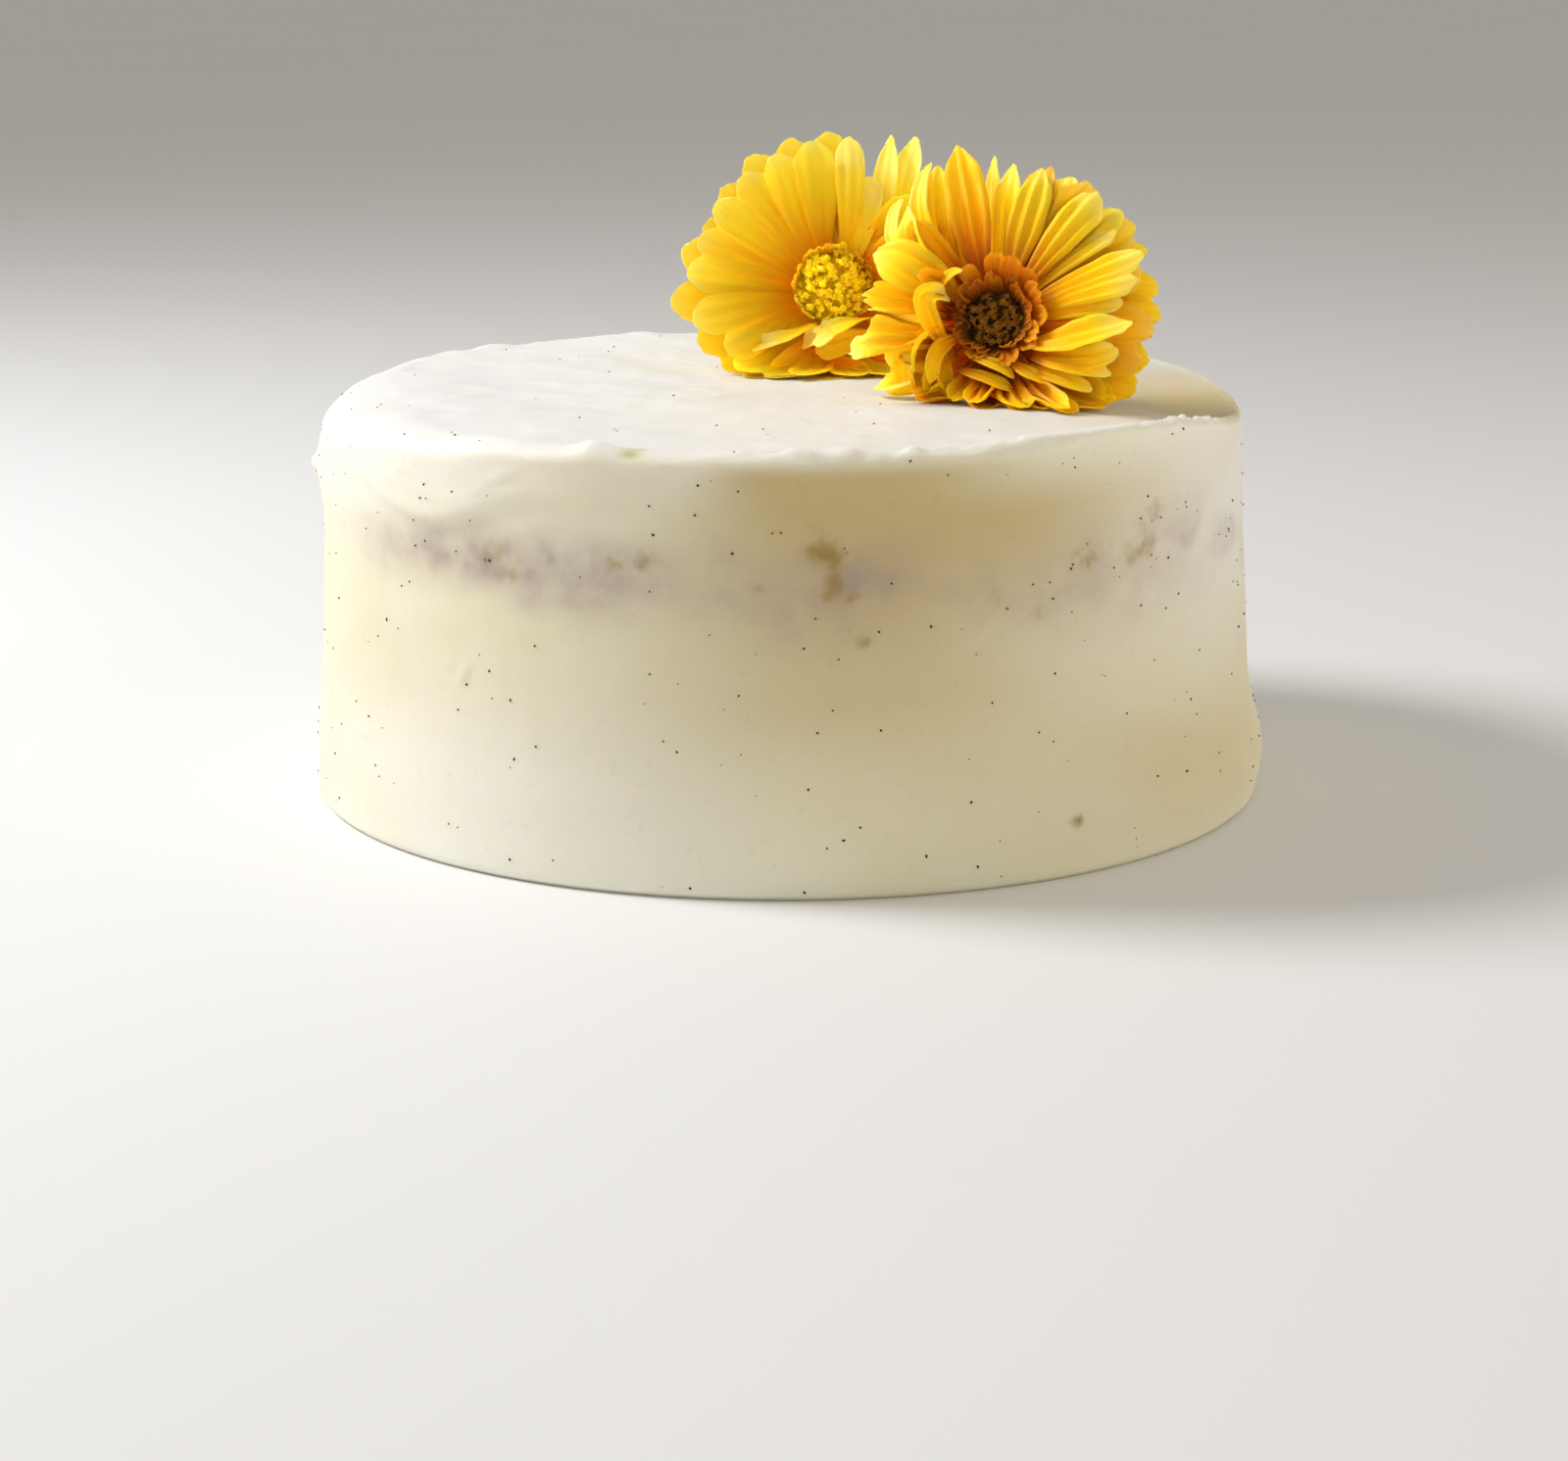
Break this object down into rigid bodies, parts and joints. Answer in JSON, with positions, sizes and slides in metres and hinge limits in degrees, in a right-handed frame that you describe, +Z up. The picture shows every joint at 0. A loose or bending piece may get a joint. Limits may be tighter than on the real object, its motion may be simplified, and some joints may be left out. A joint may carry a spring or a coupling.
{
  "type": "vanilla cake",
  "caption": "Round uncut vanilla cake under cream frosting with fine vanilla specks and a ragged raised rim, topped by yellow daisy-like flower heads that lie on their lower petals.",
  "frame": {"origin": "middle of the box's underside, on the surface that the cake stands on", "axes": "+Z up, -Y towards the front of the cake, which the flowers face, and +X to the right as seen from the front"},
  "size_m": [0.2254, 0.2162, 0.1505],
  "materials": {
    "frosting": "soft satin cream, spread by hand, with fine streaks",
    "vanilla_specks": "matt black-brown seeds",
    "cake_crumb": "matt golden sponge crumb",
    "petal": "soft matt petal, lemon at the tip and orange at the root, finely pleated",
    "petal_inner": "soft matt short petal, orange",
    "disc_green": "matt green-yellow florets",
    "disc_dark": "matt dark brown florets",
    "calyx": "matt green bracts and stalk"
  },
  "bodies": {
    "root": {"frosted_cake": "frosting", "rear_flower_calyx": "calyx", "rear_flower_outer_petals": "petal", "rear_flower_middle_petals": "petal", "rear_flower_inner_petals": "petal_inner", "rear_flower_disc": "disc_green", "front_flower_calyx": "calyx", "front_flower_outer_petals": "petal", "front_flower_middle_petals": "petal", "front_flower_inner_petals": "petal_inner", "front_flower_disc": "disc_dark"}
  },
  "joints": []
}
